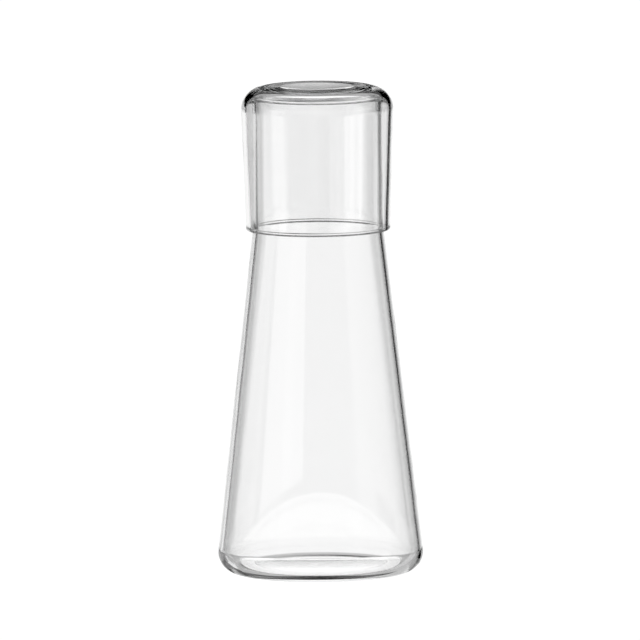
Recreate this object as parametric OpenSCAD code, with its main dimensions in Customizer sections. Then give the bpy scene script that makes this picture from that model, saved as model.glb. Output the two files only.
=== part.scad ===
// Bedside carafe with a tumbler turned over its neck.
// Both are thin blown glass, round about the same upright axis.
// The carafe stands on the plane Z = 0 with its axis on the Z axis. The tumbler hangs upside
// down over the neck, with the carafe's rim seated in the tumbler's rounded inside corner.

/* [Carafe] */
// Height of the cone-shaped body, from the table to the shoulder
body_height = 161; // [140:1:190]
// Diameter that the sloping side would have at the table if its corner were not rounded
body_diameter = 96.4; // [84:0.2:120]
// Length of the straight neck, from the shoulder to the top of the rim
neck_length = 59; // [40:1:75]
// Outer diameter of the neck
neck_diameter = 59.4; // [50:0.2:66]
// Thickness of the glass in the body
body_wall = 2; // [1.4:0.1:3]
// Thickness of the glass in the neck
neck_wall = 1.8; // [1.2:0.1:2.4]
// Thickness of the glass in the base
base_wall = 2.4; // [1.6:0.1:4]
// Outside rounding between the base and the side
base_rounding = 9.5; // [5:0.5:12]
// Inside rounding between the floor and the side
inside_rounding = 8; // [4:0.5:10]
// Outside rounding where the slope turns into the neck
shoulder_rounding = 24; // [4:1:60]
// Width of the level ring that the carafe stands on
foot_ring_width = 6.5; // [2:0.5:8]
// Height of the pushed-up middle of the base above the table
base_rise = 1.9; // [0.6:0.1:4]
// How much thicker the rounded rim is than the neck's glass
rim_swell = 0.3; // [0.2:0.1:1]

/* [Tumbler] */
// Thickness of the glass in the side
tumbler_wall = 2; // [1.2:0.1:2.4]
// Thickness of the glass at the edge of the base
tumbler_base_wall = 2.5; // [2:0.1:8]
// Height of the raised middle of the floor inside
tumbler_floor_rise = 2.5; // [0.5:0.1:4]
// Lean of the side from upright, in degrees, wider towards the base
tumbler_taper = 2; // [0.5:0.25:2.5]
// Outside rounding between the base and the side
tumbler_rounding = 10; // [5:0.5:14]
// Inside rounding between the floor and the side, where the carafe's rim seats
tumbler_inside_rounding = 8; // [3:0.5:10]
// Width of the level ring that the tumbler stands on when it is turned up
tumbler_ring_width = 8; // [2:0.5:10]
// Height of the hollow in the middle of the base
tumbler_base_rise = 1.2; // [0.3:0.1:1.5]
// How much thicker the rounded rim is than the side's glass
tumbler_rim_swell = 0.3; // [0.2:0.1:0.8]

/* [Fit] */
// Room between the neck and the inside of the tumbler, at the top of the neck
side_room = 3.2; // [3:0.1:5]
// How far the tumbler's rim hangs below the carafe's shoulder
rim_drop = 3; // [0:0.5:5]
// Gap left where the carafe's rim seats in the tumbler
seat_gap = 0.25; // [0.2:0.05:0.5]

/* [Hidden] */
// Facets round a full circle
$fn = 180;
// How far a hollow runs past the open end of its glass
overrun = 5;
// Width of the level edge between the raised middle of the tumbler's floor and its corner
floor_edge = 0.5;

// Carafe: radii, lean of the side, and the bead that rounds its rim
body_radius = body_diameter / 2;
neck_radius = neck_diameter / 2;
carafe_height = body_height + neck_length;
body_lean = (body_radius - neck_radius) / body_height;
body_tilt = atan(body_lean);
bead = neck_wall + rim_swell;
bead_height = carafe_height - bead / 2;
bead_radius = neck_radius - neck_wall / 2;

// Carafe: the level ring under the base ends where the corner's rounding starts
ring_outer_radius = body_radius - base_rounding / tan((90 - body_tilt) / 2);
ring_inner_radius = ring_outer_radius - foot_ring_width;

// Carafe: the hollow, one wall in from the outside
inside_radius = body_radius - body_wall / cos(body_tilt);
inside_neck_radius = neck_radius - neck_wall;
inside_shoulder = (inside_radius - inside_neck_radius) / body_lean;

// Tumbler, measured as it stands on its base: the side is set by the neck that it goes over
tumbler_lean = tan(tumbler_taper);
seat_depth = tumbler_base_wall + tumbler_inside_rounding;
seat_side_radius = neck_radius + side_room;
tumbler_inside_radius = seat_side_radius + tumbler_lean * seat_depth;
tumbler_radius = tumbler_inside_radius + tumbler_wall / cos(tumbler_taper);
tumbler_floor_radius = tumbler_inside_radius - tumbler_lean * tumbler_base_wall;
raised_radius = tumbler_floor_radius - tumbler_inside_rounding / tan((90 - tumbler_taper) / 2) - floor_edge;

// Seat: the carafe's bead lies a seat gap away from the tumbler's rounded inside corner
seat_corner_radius = seat_side_radius - tumbler_inside_rounding / cos(tumbler_taper);
seat_reach = tumbler_inside_rounding - bead / 2 - seat_gap;
seat_offset = max(0, bead_radius - seat_corner_radius);
seat_rise = sqrt(pow(seat_reach, 2) - pow(seat_offset, 2));
tumbler_top = bead_height - seat_rise + seat_depth;
tumbler_height = tumbler_top - body_height + rim_drop;

// Tumbler: the level ring on its base, and the bead that rounds its rim
tumbler_ring_outer = tumbler_radius - tumbler_rounding / tan((90 - tumbler_taper) / 2);
tumbler_ring_inner = tumbler_ring_outer - tumbler_ring_width;
tumbler_bead = tumbler_wall + tumbler_rim_swell;
tumbler_bead_height = tumbler_height - tumbler_bead / 2;
tumbler_rim_radius = tumbler_radius - tumbler_lean * tumbler_bead_height;
tumbler_bead_radius = tumbler_rim_radius - tumbler_wall / cos(tumbler_taper) / 2;

// Outlines run anticlockwise as [radius, height, rounding], from the axis out and up the side
carafe_outside = [
    [0, 0, 0],
    [body_radius, 0, base_rounding],
    [neck_radius, body_height, shoulder_rounding],
    [neck_radius, bead_height, 0],
    [0, bead_height, 0]
];
carafe_inside = [
    [0, base_wall, 0],
    [inside_radius - body_lean * base_wall, base_wall, inside_rounding],
    [inside_neck_radius, inside_shoulder, shoulder_rounding],
    [inside_neck_radius, carafe_height + overrun, 0],
    [0, carafe_height + overrun, 0]
];
tumbler_outside = [
    [0, 0, 0],
    [tumbler_radius, 0, tumbler_rounding],
    [tumbler_rim_radius, tumbler_bead_height, 0],
    [0, tumbler_bead_height, 0]
];
tumbler_inside = [
    [0, tumbler_base_wall, 0],
    [tumbler_floor_radius, tumbler_base_wall, tumbler_inside_rounding],
    [tumbler_inside_radius - tumbler_lean * (tumbler_height + overrun), tumbler_height + overrun, 0],
    [0, tumbler_height + overrun, 0]
];

// Geometry of the rounded corner at point i of an outline
function place(point) = [point[0], point[1]];
function unit(v) = v / norm(v);
function back(points, i) = unit(place(points[i - 1]) - place(points[i]));
function ahead(points, i) = unit(place(points[i + 1]) - place(points[i]));
function half_angle(points, i) = acos(back(points, i) * ahead(points, i)) / 2;
function run_in(points, i) = points[i][2] / tan(half_angle(points, i));
function arc_start(points, i) = place(points[i]) + back(points, i) * run_in(points, i);
function arc_end(points, i) = place(points[i]) + ahead(points, i) * run_in(points, i);
function arc_middle(points, i) =
    place(points[i]) + unit(back(points, i) + ahead(points, i)) * points[i][2] / sin(half_angle(points, i));
function turns_out(points, i) = cross(back(points, i), ahead(points, i)) < 0;

// At a rounded corner the plain outline cuts straight across, from one end of the arc to the other
function corner_path(points, i) =
    points[i][2] == 0 ? [place(points[i])] : [arc_start(points, i), arc_end(points, i)];

// Slice of a disc, from its middle to the two ends of a corner's arc
module corner_slice(points, i) {
    middle = arc_middle(points, i);
    intersection() {
        translate(middle) circle(r = points[i][2]);
        polygon([
            middle,
            middle + 2 * (arc_start(points, i) - middle),
            middle + 2 * (arc_end(points, i) - middle)
        ]);
    }
}

// Filled outline: slices fill the corners that turn out and clear the corners that turn in
module rounded_outline(points) {
    rounded = [for (i = [0:len(points) - 1]) if (points[i][2] > 0) i];
    difference() {
        union() {
            polygon([for (i = [0:len(points) - 1]) each corner_path(points, i)]);
            for (i = rounded) if (turns_out(points, i)) corner_slice(points, i);
        }
        for (i = rounded) if (!turns_out(points, i)) corner_slice(points, i);
    }
}

// Disc whose top is a shallow dome of the given radius and rise, standing on a level
module dome(radius, rise, level) {
    dome_radius = (pow(radius, 2) + pow(rise, 2)) / (2 * rise);
    translate([0, level + rise - dome_radius]) circle(r = dome_radius);
}

// Carafe: cone-shaped body on a pushed-up base, and a straight neck with a rounded rim
module carafe() {
    color([0.93, 0.96, 0.96, 0.4])
    rotate_extrude() {
        difference() {
            rounded_outline(carafe_outside);
            dome(ring_inner_radius, base_rise, 0);
            difference() {
                rounded_outline(carafe_inside);
                dome(ring_inner_radius, base_rise, base_wall);
            }
        }
        translate([bead_radius, bead_height]) circle(d = bead);
    }
}

// Tumbler: tapering side, rounded base that is thickest in its middle, and rounded rim. It is
// turned over onto the neck
module tumbler() {
    color([0.95, 0.97, 0.97, 0.4])
    translate([0, 0, tumbler_top])
    rotate([180, 0, 0])
    rotate_extrude() {
        difference() {
            rounded_outline(tumbler_outside);
            dome(tumbler_ring_inner, tumbler_base_rise, 0);
            difference() {
                rounded_outline(tumbler_inside);
                dome(raised_radius, tumbler_floor_rise, tumbler_base_wall);
            }
        }
        translate([tumbler_bead_radius, tumbler_bead_height]) circle(d = tumbler_bead);
    }
}

carafe();
tumbler();
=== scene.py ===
"""Bedside carafe with a tumbler turned over its neck, in clear blown glass.

Both pieces are round about the Z axis. Each is drawn as half of its section, in the XZ plane with
radius along X and height along Z, and spun into a closed wall of glass. The studio is a surround of
soft-edged panels: pale screens that the glass is looked at against, and grey and dark panels that
its curved edges pick up as lines.
"""
import math

import bmesh
import bpy
from bpy.props import FloatProperty, FloatVectorProperty, IntProperty, PointerProperty
from mathutils import Matrix, Vector


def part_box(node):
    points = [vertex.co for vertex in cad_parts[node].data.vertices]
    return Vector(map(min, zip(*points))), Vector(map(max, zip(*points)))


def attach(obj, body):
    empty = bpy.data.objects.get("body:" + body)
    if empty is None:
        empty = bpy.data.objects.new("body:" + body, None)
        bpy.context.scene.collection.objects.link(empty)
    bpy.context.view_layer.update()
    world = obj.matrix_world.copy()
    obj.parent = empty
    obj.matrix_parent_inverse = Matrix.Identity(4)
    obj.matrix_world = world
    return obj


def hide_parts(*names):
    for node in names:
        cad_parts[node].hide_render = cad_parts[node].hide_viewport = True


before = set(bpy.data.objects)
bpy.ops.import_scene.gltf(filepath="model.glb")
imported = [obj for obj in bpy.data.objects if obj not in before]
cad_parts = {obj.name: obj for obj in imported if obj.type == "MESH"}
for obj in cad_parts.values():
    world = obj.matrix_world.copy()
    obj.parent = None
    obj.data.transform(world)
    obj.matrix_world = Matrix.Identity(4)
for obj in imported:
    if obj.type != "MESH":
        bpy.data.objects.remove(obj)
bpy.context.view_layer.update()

bl_info = {
    "name": "Bedside carafe with tumbler",
    "version": (1, 0, 0),
    "blender": (4, 5, 0),
    "location": "View3D > Sidebar > Carafe",
    "description": "Models a clear glass carafe, the tumbler over its neck and the studio round them",
    "category": "Add Mesh",
}

CARAFE_LOW, CARAFE_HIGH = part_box("carafe")
TUMBLER_LOW, TUMBLER_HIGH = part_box("tumbler")


def length(name, description, default):
    """A length in metres, as a property."""
    return FloatProperty(
        name=name, description=description, default=default, unit="LENGTH", subtype="DISTANCE")


def angle(name, description, degrees):
    """An angle, given in degrees and kept in radians, as a property."""
    return FloatProperty(name=name, description=description, default=math.radians(degrees), subtype="ANGLE")


def brightness(name, description, default):
    """How bright a part of the studio is, where 1 is white in the picture."""
    return FloatProperty(name=name, description=description, default=default, min=0)


class CarafeSizes(bpy.types.PropertyGroup):
    """Sizes of the carafe, as it stands on the table."""

    body_height: length("Body height", "From the table to the shoulder", 0.161)
    body_diameter: length("Body diameter", "Across the sides where they would meet the table", 0.0964)
    height: length("Height", "From the table to the top of the rim", CARAFE_HIGH[2])
    neck_diameter: length("Neck diameter", "Across the outside of the straight neck", 0.0594)
    body_wall: length("Body wall", "Thickness of the glass in the body", 0.002)
    neck_wall: length("Neck wall", "Thickness of the glass in the neck", 0.0018)
    base_wall: length("Base wall", "Thickness of the glass in the base", 0.0024)
    base_rounding: length("Base rounding", "Outside rounding between the base and the side", 0.0095)
    inside_rounding: length("Inside rounding", "Inside rounding between the floor and the side", 0.008)
    shoulder_rounding: length("Shoulder rounding", "Rounding where the slope turns into the neck", 0.024)
    foot_ring_width: length("Foot ring width", "Width of the level ring that the carafe stands on", 0.0065)
    base_rise: length("Base rise", "Height of the pushed-up middle of the base", 0.0019)
    rim_swell: length("Rim swell", "How much thicker the rounded rim is than the neck's glass", 0.0003)


class TumblerSizes(bpy.types.PropertyGroup):
    """Sizes of the tumbler, as it hangs upside down over the neck."""

    top: length("Top", "Height of its base above the table", TUMBLER_HIGH[2])
    rim: length("Rim", "Height of its rim above the table", TUMBLER_LOW[2])
    side_room: length("Side room", "Room between the neck and the tumbler, at the top of the neck", 0.0032)
    wall: length("Wall", "Thickness of the glass in the side", 0.002)
    base_wall: length("Base wall", "Thickness of the glass at the edge of the base", 0.0025)
    taper: angle("Taper", "Lean of the side from upright", 2)
    rounding: length("Rounding", "Outside rounding between the base and the side", 0.01)
    inside_rounding: length("Inside rounding", "Inside rounding between the floor and the side", 0.008)
    floor_rise: length("Floor rise", "Height of the raised middle of the floor inside", 0.0025)
    floor_edge: length("Floor edge", "Width of the level edge round the raised middle", 0.0005)
    ring_width: length("Ring width", "Width of the level ring on its base", 0.008)
    base_rise: length("Base rise", "Depth of the hollow in the middle of its base", 0.0012)
    rim_swell: length("Rim swell", "How much thicker the rounded rim is than the side's glass", 0.0003)


class GlassLook(bpy.types.PropertyGroup):
    """How the glass is made up."""

    ior: FloatProperty(name="IOR", description="How strongly the glass bends light", default=1.473, min=1)
    tint: FloatVectorProperty(
        name="Tint", description="Colour that thick glass takes on", subtype="COLOR",
        default=(0.72, 0.74, 0.74))
    depth: FloatProperty(
        name="Depth of tint", description="How fast the tint builds up, per metre", default=8.0, min=0)
    unevenness: FloatProperty(
        name="Unevenness", description="Strength of the slight waves left by blowing",
        default=0.003, min=0, max=1)
    wave_size: length("Wave size", "Width of the slight waves in the glass", 0.018)
    wave_detail: FloatProperty(
        name="Wave detail", description="How many finer waves lie on the slight ones", default=1, min=0)
    segments: IntProperty(name="Segments", description="Steps round the glass", default=256, min=24)
    ring_gap: length("Ring gap", "Widest stretch of wall between two rings of the mesh", 0.003)


class StudioLook(bpy.types.PropertyGroup):
    """The surround, the floor and the camera."""

    white: brightness("White", "Brightness of the screen behind the glass", 1.05)
    screen_near: brightness("Screen's side", "Brightness of the screen beside its middle", 0.9)
    screen_low: brightness("Screen, low", "Brightness of the lower half of the screen near its edges", 0.95)
    screen_high: brightness("Screen, high", "Brightness of the upper half of the screen near its edges", 0.5)
    left_light: brightness("Left light", "Brightness of the strip light at the screen's left edge", 1.0)
    ceiling: brightness("Ceiling", "Brightness of the ceiling in front of the camera", 1.18)
    ceiling_behind: brightness("Ceiling behind", "Brightness of the ceiling behind the camera", 0.44)
    half_way: brightness("Half way", "Brightness of the walls half way up to the ceiling", 0.4)
    window: brightness("Window", "Brightness of the wide window behind the camera", 1.05)
    shade: brightness("Shade", "Brightness of the shade above and beside the screen", 0.0)
    beside: brightness("Beside", "Brightness of the tops of the tables beside the glass", 0.76)
    below: brightness("Below", "Brightness of the room below the tables", 0.51)
    table_edge: brightness("Table's edge", "Brightness of the table's edge in front of the camera", 0.55)
    under_table: brightness("Under the table", "Brightness of the shade under that edge", 0.03)
    behind: brightness("Behind", "Brightness of the room behind the camera", 0.25)
    under_camera: brightness("Under the camera", "Brightness of the room below and behind the camera", 0.0)
    floor_radius: length("Floor radius", "Radius of the round floor", 0.0375)
    # Painted light and shade on the floor: it glows of itself, brightest in the middle, and less towards its
    # rim as a painted contact shadow under the foot.
    floor_painted_glow: brightness("Floor glow", "Light that the middle of the floor gives of itself", 1.45)
    floor_painted_rim_shadow: brightness("Floor rim", "Light that the floor gives of itself at its rim", 1.0)
    painted_glow_share: FloatProperty(
        name="Lit share", description="Share of the floor's radius that glows fully",
        default=0.68, min=0, max=1)
    floor_colour: FloatVectorProperty(
        name="Floor colour", description="Colour of the floor", subtype="COLOR", default=(0.3, 0.3, 0.3))
    floor_roughness: FloatProperty(
        name="Floor roughness", description="How matt the floor is", default=0.9, min=0, max=1)
    floor_segments: IntProperty(
        name="Floor segments", description="Steps round the floor", default=128, min=24)
    camera_distance: length("Camera distance", "From the camera to the middle of the object", 10.0)
    camera_rise: angle("Camera rise", "How steeply the camera looks down", 6.63)
    camera_roll: angle("Camera roll", "Turn of the camera about its view", -0.46)
    frame_width: length("Frame width", "Width that the picture shows at the object", 0.29344)
    aim_side: length("Aim to the side", "Where the camera aims, along X", 0.0005)
    aim_height: length("Aim height", "Where the camera aims, along Z", 0.11625)
    bounces: IntProperty(
        name="Bounces", description="How often light may bounce or cross glass", default=40, min=1)


class Section:
    """Half of a section through the glass: one line that is drawn stretch by stretch, then spun.

    The hem is the width of the strip at each end of a straight stretch, and the weld is the distance
    within which points are merged. An arc has a point at least every arc step.
    """

    hem = 0.0002
    weld = hem / 100
    arc_step = math.radians(4)

    def __init__(self, radius, height, ring_gap):
        self.mesh = bmesh.new()
        self.end = self.mesh.verts.new((radius, 0, height))
        self.ring_gap = ring_gap

    def place(self):
        """Where the line has got to, as radius and height."""
        return Vector((self.end.co.x, self.end.co.z))

    def step_to(self, point):
        """Draws one straight edge to a point."""
        drawn = bmesh.ops.extrude_vert_indiv(self.mesh, verts=[self.end])
        self.end = drawn["verts"][0]
        self.end.co = (point[0], 0, point[1])

    def line_to(self, point):
        """Draws a straight stretch, with a narrow hem at each end that keeps its shading straight."""
        start = self.place()
        way = Vector(point) - start
        run = way.length
        inner = run - 2 * self.hem
        if inner > self.hem:
            steps = math.ceil(inner / self.ring_gap)
            for step in range(steps + 1):
                self.step_to(start + way * (self.hem + inner * step / steps) / run)
        self.step_to(point)

    def arc(self, middle, turn):
        """Draws an arc about a middle point. A positive turn runs anticlockwise."""
        radius = (self.place() - Vector(middle)).length
        steps = math.ceil(abs(turn) * max(1 / self.arc_step, radius / self.ring_gap))
        drawn = bmesh.ops.spin(
            self.mesh, geom=[self.end], cent=(middle[0], 0, middle[1]), axis=(0, -1, 0),
            angle=turn, steps=steps)
        self.end = next(item for item in drawn["geom_last"] if isinstance(item, bmesh.types.BMVert))

    def corners(self, points):
        """Draws on through points (radius, height, rounding), the last of which isn't rounded."""
        for here, after in zip(points, points[1:] + points[-1:]):
            corner = Vector(here[:2])
            if here[2] == 0:
                self.line_to(corner)
                continue
            back = (self.place() - corner).normalized()
            ahead = (Vector(after[:2]) - corner).normalized()
            half = back.angle(ahead) / 2
            self.line_to(corner + back * here[2] / math.tan(half))
            middle = corner + (back + ahead).normalized() * here[2] / math.sin(half)
            self.arc(middle, math.copysign(math.pi - 2 * half, ahead.cross(back)))

    def spin(self, name, segments):
        """Spins the section into a closed piece, and returns the piece's object."""
        everything = self.mesh.verts[:] + self.mesh.edges[:]
        bmesh.ops.spin(
            self.mesh, geom=everything, cent=(0, 0, 0), axis=(0, 0, 1),
            angle=2 * math.pi, steps=segments, use_merge=True)
        bmesh.ops.remove_doubles(self.mesh, verts=self.mesh.verts, dist=self.weld)
        bmesh.ops.recalc_face_normals(self.mesh, faces=self.mesh.faces)
        for face in self.mesh.faces:
            face.smooth = True
        data = bpy.data.meshes.new(name)
        self.mesh.to_mesh(data)
        self.mesh.free()
        piece = bpy.data.objects.new(name, data)
        bpy.context.scene.collection.objects.link(piece)
        return piece


def bead(middle, thickness, wall, tilt):
    """Where a rounded rim leaves the outside of a wall, and how far it turns to reach the inside."""
    tuck = math.acos(wall / thickness)
    out = Vector((math.cos(tilt - tuck), math.sin(tilt - tuck)))
    return middle + out * thickness / 2, math.pi + 2 * tuck


def rounding_reach(rounding, tilt):
    """How far the rounding between a level base and a leaning side reaches along the base."""
    return rounding / math.tan((math.pi / 2 - tilt) / 2)


def ball_radius(radius, rise):
    """Radius of the ball whose cap is a shallow dome of the given radius and rise."""
    return (radius ** 2 + rise ** 2) / (2 * rise)


def dome_middle(radius, rise, level):
    """Middle point of the shallow dome that rises from a level ring to the axis."""
    return Vector((0, level + rise - ball_radius(radius, rise)))


def dome_turn(radius, rise):
    """Angle that the dome takes from the axis out to its ring."""
    return math.asin(radius / ball_radius(radius, rise))


def carafe_section(size, ring_gap):
    """Section of the carafe: base, cone-shaped body, straight neck and rounded rim."""
    body_radius = size.body_diameter / 2
    neck_radius = size.neck_diameter / 2
    lean = (body_radius - neck_radius) / size.body_height
    tilt = math.atan(lean)
    ring = body_radius - rounding_reach(size.base_rounding, tilt) - size.foot_ring_width
    inside_radius = body_radius - size.body_wall / math.cos(tilt)
    inside_neck = neck_radius - size.neck_wall
    inside_shoulder = (inside_radius - inside_neck) / lean
    thickness = size.neck_wall + size.rim_swell
    middle = Vector((neck_radius - size.neck_wall / 2, size.height - thickness / 2))
    rim_start, rim_turn = bead(middle, thickness, size.neck_wall, 0)

    section = Section(0, size.base_rise, ring_gap)
    section.arc(dome_middle(ring, size.base_rise, 0), -dome_turn(ring, size.base_rise))
    section.corners([
        (body_radius, 0, size.base_rounding),
        (neck_radius, size.body_height, size.shoulder_rounding),
        (rim_start.x, rim_start.y, 0),
    ])
    section.arc(middle, rim_turn)
    section.corners([
        (inside_neck, inside_shoulder, size.shoulder_rounding),
        (inside_radius - lean * size.base_wall, size.base_wall, size.inside_rounding),
        (ring, size.base_wall, 0),
    ])
    section.arc(dome_middle(ring, size.base_rise, size.base_wall), dome_turn(ring, size.base_rise))
    return section


def tumbler_section(size, neck_diameter, ring_gap):
    """Section of the tumbler as it stands on its base, with a tapering side and a rounded rim."""
    lean = math.tan(size.taper)
    seat_depth = size.base_wall + size.inside_rounding
    inside_radius = neck_diameter / 2 + size.side_room + lean * seat_depth
    radius = inside_radius + size.wall / math.cos(size.taper)
    ring = radius - rounding_reach(size.rounding, size.taper) - size.ring_width
    thickness = size.wall + size.rim_swell
    rim_height = size.top - size.rim - thickness / 2
    rim_radius = radius - lean * rim_height
    middle = Vector((rim_radius - size.wall / math.cos(size.taper) / 2, rim_height))
    rim_start, rim_turn = bead(middle, thickness, size.wall, size.taper)

    section = Section(0, size.base_rise, ring_gap)
    section.arc(dome_middle(ring, size.base_rise, 0), -dome_turn(ring, size.base_rise))
    section.corners([(radius, 0, size.rounding), (rim_start.x, rim_start.y, 0)])
    section.arc(middle, rim_turn)
    corner = inside_radius - lean * size.base_wall
    raised = corner - rounding_reach(size.inside_rounding, size.taper) - size.floor_edge
    section.corners([(corner, size.base_wall, size.inside_rounding), (raised, size.base_wall, 0)])
    section.arc(dome_middle(raised, size.floor_rise, size.base_wall), dome_turn(raised, size.floor_rise))
    return section


def add_node(tree, kind, **settings):
    """Adds a node and sets its own values."""
    node = tree.nodes.new(kind)
    for name, value in settings.items():
        setattr(node, name, value)
    return node


def glass_material(name, look):
    """Clear glass, faintly tinted where it is thick, with slight waves from blowing."""
    material = bpy.data.materials.new(name)
    material.use_nodes = True
    tree = material.node_tree
    shader = tree.nodes["Principled BSDF"]
    shader.inputs["Base Color"].default_value = (1, 1, 1, 1)
    shader.inputs["Roughness"].default_value = 0
    shader.inputs["IOR"].default_value = look.ior
    shader.inputs["Transmission Weight"].default_value = 1

    place = add_node(tree, "ShaderNodeTexCoord")
    waves = add_node(tree, "ShaderNodeTexNoise")
    waves.inputs["Scale"].default_value = 1 / look.wave_size
    waves.inputs["Detail"].default_value = look.wave_detail
    bump = add_node(tree, "ShaderNodeBump")
    bump.inputs["Strength"].default_value = look.unevenness
    bump.inputs["Distance"].default_value = look.wave_size
    tree.links.new(place.outputs["Object"], waves.inputs["Vector"])
    tree.links.new(waves.outputs["Fac"], bump.inputs["Height"])
    tree.links.new(bump.outputs["Normal"], shader.inputs["Normal"])

    tint = add_node(tree, "ShaderNodeVolumeAbsorption")
    tint.inputs["Color"].default_value = (*look.tint, 1)
    tint.inputs["Density"].default_value = look.depth
    tree.links.new(tint.outputs["Volume"], tree.nodes["Material Output"].inputs["Volume"])
    return material


def floor_material(studio):
    """Matt floor that glows of itself as painted light, and glows less towards its rim as a painted contact
    shadow where the foot stands.
    """
    material = bpy.data.materials.new("emissive_floor_painted_shadow")
    material.use_nodes = True
    tree = material.node_tree
    shader = tree.nodes["Principled BSDF"]
    shader.inputs["Base Color"].default_value = (*studio.floor_colour, 1)
    shader.inputs["Roughness"].default_value = studio.floor_roughness
    shader.inputs["Specular IOR Level"].default_value = 0
    # Emission makes the floor glow of itself, as painted light that no lamp gives.
    shader.inputs["Emission Color"].default_value = (1, 1, 1, 1)
    place = add_node(tree, "ShaderNodeTexCoord")
    reach = add_node(tree, "ShaderNodeVectorMath", operation="LENGTH")
    # Painted contact shadow: the glow falls off by radius from the middle to the rim, where the foot stands.
    shade = add_node(tree, "ShaderNodeMapRange", interpolation_type="SMOOTHSTEP")
    shade.inputs["From Min"].default_value = studio.floor_radius * studio.painted_glow_share
    shade.inputs["From Max"].default_value = studio.floor_radius
    shade.inputs["To Min"].default_value = studio.floor_painted_glow
    shade.inputs["To Max"].default_value = studio.floor_painted_rim_shadow
    tree.links.new(place.outputs["Object"], reach.inputs[0])
    tree.links.new(reach.outputs["Value"], shade.inputs["Value"])
    tree.links.new(shade.outputs["Result"], shader.inputs["Emission Strength"])
    return material


class Surround:
    """The studio's surround: a world of soft-edged panels, each placed by its direction.

    It starts white, and each panel is laid over those before it. Directions are given in degrees: a
    heading runs from +Y, where the camera looks, towards -X, and a tilt runs up from the horizon.
    The ranges for all round, straight up and straight down reach too far, so that no soft edge shows.
    """

    all_round = (-200, 200)
    straight_up = 95
    straight_down = -95

    def __init__(self, world, white):
        world.use_nodes = True
        self.tree = world.node_tree
        place = add_node(self.tree, "ShaderNodeTexCoord")
        parts = add_node(self.tree, "ShaderNodeSeparateXYZ")
        self.tree.links.new(place.outputs["Generated"], parts.inputs["Vector"])
        left = self.math("MULTIPLY", parts.outputs["X"], -1)
        self.heading = self.math("ARCTAN2", left, parts.outputs["Y"])
        self.tilt = self.math("ARCSINE", parts.outputs["Z"])
        self.light = self.math("ADD", white, 0)

    def math(self, operation, *values):
        """Adds a sum whose terms are numbers or the outputs of other nodes."""
        node = add_node(self.tree, "ShaderNodeMath", operation=operation)
        for socket, value in zip(node.inputs, values):
            if isinstance(value, bpy.types.NodeSocket):
                self.tree.links.new(value, socket)
            else:
                socket.default_value = value
        return node.outputs["Value"]

    def within(self, direction, middle, reach, softness):
        """1 where a direction is within reach of its middle, easing to 0 over the softness."""
        offset = self.math("SUBTRACT", direction, math.radians(middle))
        turned = self.math("WRAP", offset, math.pi, -math.pi)
        distance = self.math("ABSOLUTE", turned)
        ease = add_node(self.tree, "ShaderNodeMapRange", interpolation_type="SMOOTHSTEP")
        ease.inputs["From Min"].default_value = math.radians(reach - softness / 2)
        ease.inputs["From Max"].default_value = math.radians(reach + softness / 2)
        ease.inputs["To Min"].default_value = 1
        ease.inputs["To Max"].default_value = 0
        self.tree.links.new(distance, ease.inputs["Value"])
        return ease.outputs["Result"]

    def panel(self, light, tilt, heading=all_round, softness=(4, 2)):
        """Lays a panel over the surround. tilt and heading are each (from, to) in degrees.

        The softness is that of the upright edges and of the level edges, in degrees too.
        """
        masks = []
        for direction, (low, high), soft in zip((self.heading, self.tilt), (heading, tilt), softness):
            masks.append(self.within(direction, (low + high) / 2, (high - low) / 2, soft))
        mask = self.math("MULTIPLY", *masks)
        blend = add_node(self.tree, "ShaderNodeMix", data_type="FLOAT")
        self.tree.links.new(mask, blend.inputs["Factor"])
        self.tree.links.new(self.light, blend.inputs["A"])
        blend.inputs["B"].default_value = light
        self.light = blend.outputs["Result"]

    def finish(self):
        """Joins the light to the world's background."""
        self.tree.links.new(self.light, self.tree.nodes["Background"].inputs["Color"])


def finish_piece(piece, material, body, node):
    """Gives a piece its glass, lets it ride on its body and puts it in its node's place."""
    piece.data.materials.append(material)
    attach(piece, body)
    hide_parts(node)


class GLASSWARE_OT_carafe(bpy.types.Operator):
    """Model the carafe"""

    bl_idname = "glassware.carafe"
    bl_label = "Carafe"

    def execute(self, context):
        look = context.scene.glass_look
        section = carafe_section(context.scene.carafe_sizes, look.ring_gap)
        piece = section.spin("carafe_glass", look.segments)
        finish_piece(piece, glass_material("carafe_glass", look), "carafe", "carafe")
        return {"FINISHED"}


class GLASSWARE_OT_tumbler(bpy.types.Operator):
    """Model the tumbler and turn it over onto the neck"""

    bl_idname = "glassware.tumbler"
    bl_label = "Tumbler"

    def execute(self, context):
        look = context.scene.glass_look
        size = context.scene.tumbler_sizes
        section = tumbler_section(size, context.scene.carafe_sizes.neck_diameter, look.ring_gap)
        piece = section.spin("tumbler_glass", look.segments)
        turned_over = Matrix.Translation((0, 0, size.top)) @ Matrix.Rotation(math.pi, 4, "X")
        piece.data.transform(turned_over)
        finish_piece(piece, glass_material("tumbler_glass", look), "tumbler", "tumbler")
        return {"FINISHED"}


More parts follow.
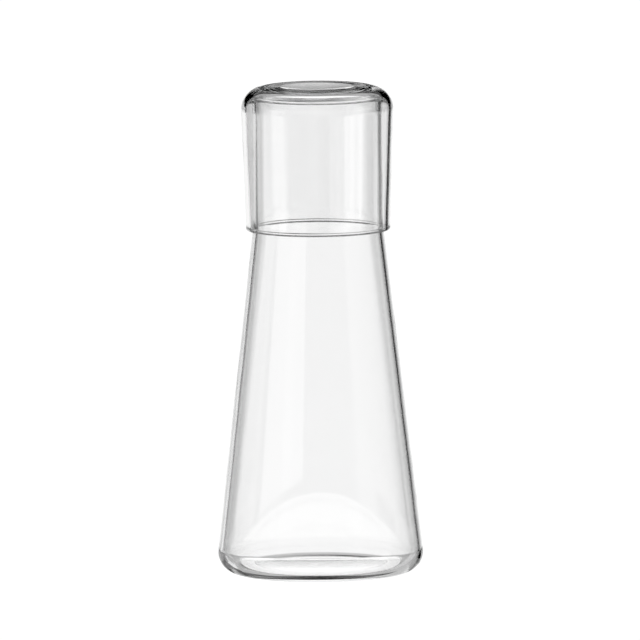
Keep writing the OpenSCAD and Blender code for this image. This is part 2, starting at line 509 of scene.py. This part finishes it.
class GLASSWARE_OT_stage(bpy.types.Operator):
    """Set up the floor, the surround and the camera"""

    bl_idname = "glassware.stage"
    bl_label = "Stage"

    # Views with a screen of their own: heading, and tilts of the screen's foot, middle and top
    views = (
        (0, (-14, -5, 5)),
        (90, (-14, -5, -1)),
        (45, (-32, -23, -18)),
        (225, (-22, -13, -8)),
    )

    def execute(self, context):
        studio = context.scene.studio_look
        self.lay_floor(context, studio)
        self.build_surround(context, studio)
        self.place_camera(context, studio)
        self.set_render(context, studio)
        return {"FINISHED"}

    def lay_floor(self, context, studio):
        """A round floor under the object, pale from its own painted glow, with a painted contact shadow at
        its rim.
        """
        mesh = bmesh.new()
        bmesh.ops.create_circle(
            mesh, cap_ends=True, radius=studio.floor_radius, segments=studio.floor_segments)
        data = bpy.data.meshes.new("floor")
        mesh.to_mesh(data)
        mesh.free()
        data.materials.append(floor_material(studio))
        floor = bpy.data.objects.new("floor", data)
        context.scene.collection.objects.link(floor)

    def build_surround(self, context, studio):
        """A room of soft panels, with a screen for each view."""
        world = bpy.data.worlds.new("studio")
        context.scene.world = world
        surround = Surround(world, studio.white)
        self.build_room(surround, studio)
        for heading, tilts in self.views:
            self.frame_view(surround, studio, heading, tilts)
        surround.finish()

    def build_room(self, surround, studio):
        """Ceiling, walls, window and tables all round, each from one tilt or heading to another."""
        half_round = (80, 280)
        behind = (130, 230)
        in_front = (-20, 20)
        ceiling_edge = 40
        wall_top = 24
        table_foot = -14
        front_foot = -33
        overhead = (ceiling_edge, surround.straight_up)
        half_way_up = (wall_top, ceiling_edge)
        wall = (-5, wall_top)
        window_pane = (9, wall_top)
        table_tops = (table_foot, -3.5)
        eye_level = (table_foot, 5)
        table_front = (front_foot, table_foot)
        downwards = (surround.straight_down, table_foot)
        underneath = (surround.straight_down, front_foot)

        ceiling_softness = (4, 3)
        far_ceiling_softness = (6, 3)
        far_softness = (6, 2)
        surround.panel(studio.ceiling, overhead, softness=ceiling_softness)
        surround.panel(studio.ceiling_behind, overhead, half_round, far_ceiling_softness)
        surround.panel(studio.half_way, half_way_up)
        surround.panel(studio.shade, half_way_up, half_round, far_softness)
        surround.panel(studio.shade, wall)
        surround.panel(studio.window, window_pane, half_round, far_softness)
        surround.panel(studio.beside, table_tops)
        surround.panel(studio.below, downwards)
        surround.panel(studio.table_edge, table_front, in_front)
        surround.panel(studio.under_table, underneath, in_front)
        surround.panel(studio.behind, eye_level, behind, far_softness)
        surround.panel(studio.under_camera, downwards, behind, far_softness)

    def frame_view(self, surround, studio, heading, tilts):
        """A screen that glass is looked at against, with dark edges that draw its walls as lines.

        The upright walls show the lower half of its edges and the leaning walls the upper half. The
        edges are given as right and left of the middle of the view.
        """
        foot, middle, top = tilts
        lower_half = (foot, middle)
        upper_half = (middle, top)
        whole = (foot, top)
        lower_shade = (-42, 46)
        lower_screen = (-22, 37)
        upper_shade = (-45, 60)
        strip_light = (20, 31)
        upper_screen = (-26, 24)
        near_middle = (-16, 16)
        in_middle = (-6, 6)
        screen_softness = (2, 2)
        for light, (right, left), tilt in (
                (studio.shade, lower_shade, lower_half),
                (studio.screen_low, lower_screen, lower_half),
                (studio.shade, upper_shade, upper_half),
                (studio.left_light, strip_light, upper_half),
                (studio.screen_high, upper_screen, upper_half),
                (studio.screen_near, near_middle, whole),
                (studio.white, in_middle, whole)):
            surround.panel(light, tilt, (heading + right, heading + left), screen_softness)

    def place_camera(self, context, studio):
        """A long lens that looks slightly down, as in the photograph."""
        data = bpy.data.cameras.new("camera")
        data.sensor_width = 36
        data.lens = data.sensor_width * studio.camera_distance / studio.frame_width
        data.clip_end = 2 * studio.camera_distance
        camera = bpy.data.objects.new("camera", data)
        aim = Matrix.Translation((studio.aim_side, 0, studio.aim_height))
        look_down = Matrix.Rotation(math.pi / 2 - studio.camera_rise, 4, "X")
        step_back = Matrix.Translation((0, 0, studio.camera_distance))
        roll = Matrix.Rotation(studio.camera_roll, 4, "Z")
        camera.matrix_world = aim @ look_down @ step_back @ roll
        context.scene.collection.objects.link(camera)
        context.scene.camera = camera

    def set_render(self, context, studio):
        """Enough bounces for light to cross every wall, and colours shown as they are."""
        cycles = context.scene.cycles
        cycles.max_bounces = studio.bounces
        cycles.transmission_bounces = studio.bounces
        cycles.glossy_bounces = studio.bounces
        cycles.use_denoising = True
        context.scene.view_settings.view_transform = "Standard"


class GLASSWARE_PT_panel(bpy.types.Panel):
    """Lists the pieces and the stage in the 3D view's sidebar"""

    bl_idname = "GLASSWARE_PT_panel"
    bl_label = "Carafe with tumbler"
    bl_space_type = "VIEW_3D"
    bl_region_type = "UI"
    bl_category = "Carafe"

    def draw(self, context):
        for operator in OPERATORS:
            self.layout.operator(operator.bl_idname)
        for group in GROUPS:
            settings = getattr(context.scene, group)
            self.layout.label(text=group.replace("_", " ").capitalize())
            for name in settings.bl_rna.properties.keys():
                if name not in ("rna_type", "name"):
                    self.layout.prop(settings, name)


GROUPS = {
    "carafe_sizes": CarafeSizes,
    "tumbler_sizes": TumblerSizes,
    "glass_look": GlassLook,
    "studio_look": StudioLook,
}
OPERATORS = (GLASSWARE_OT_carafe, GLASSWARE_OT_tumbler, GLASSWARE_OT_stage)


def register():
    """Adds the settings, the operators and the panel to Blender."""
    for name, group in GROUPS.items():
        bpy.utils.register_class(group)
        setattr(bpy.types.Scene, name, PointerProperty(type=group))
    for operator in OPERATORS:
        bpy.utils.register_class(operator)
    bpy.utils.register_class(GLASSWARE_PT_panel)


def unregister():
    """Takes everything that register added out again."""
    bpy.utils.unregister_class(GLASSWARE_PT_panel)
    for operator in reversed(OPERATORS):
        bpy.utils.unregister_class(operator)
    for name, group in reversed(GROUPS.items()):
        delattr(bpy.types.Scene, name)
        bpy.utils.unregister_class(group)


def main():
    """Registers the classes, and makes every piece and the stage."""
    register()
    bpy.ops.glassware.carafe()
    bpy.ops.glassware.tumbler()
    bpy.ops.glassware.stage()


if __name__ == "__main__":
    main()
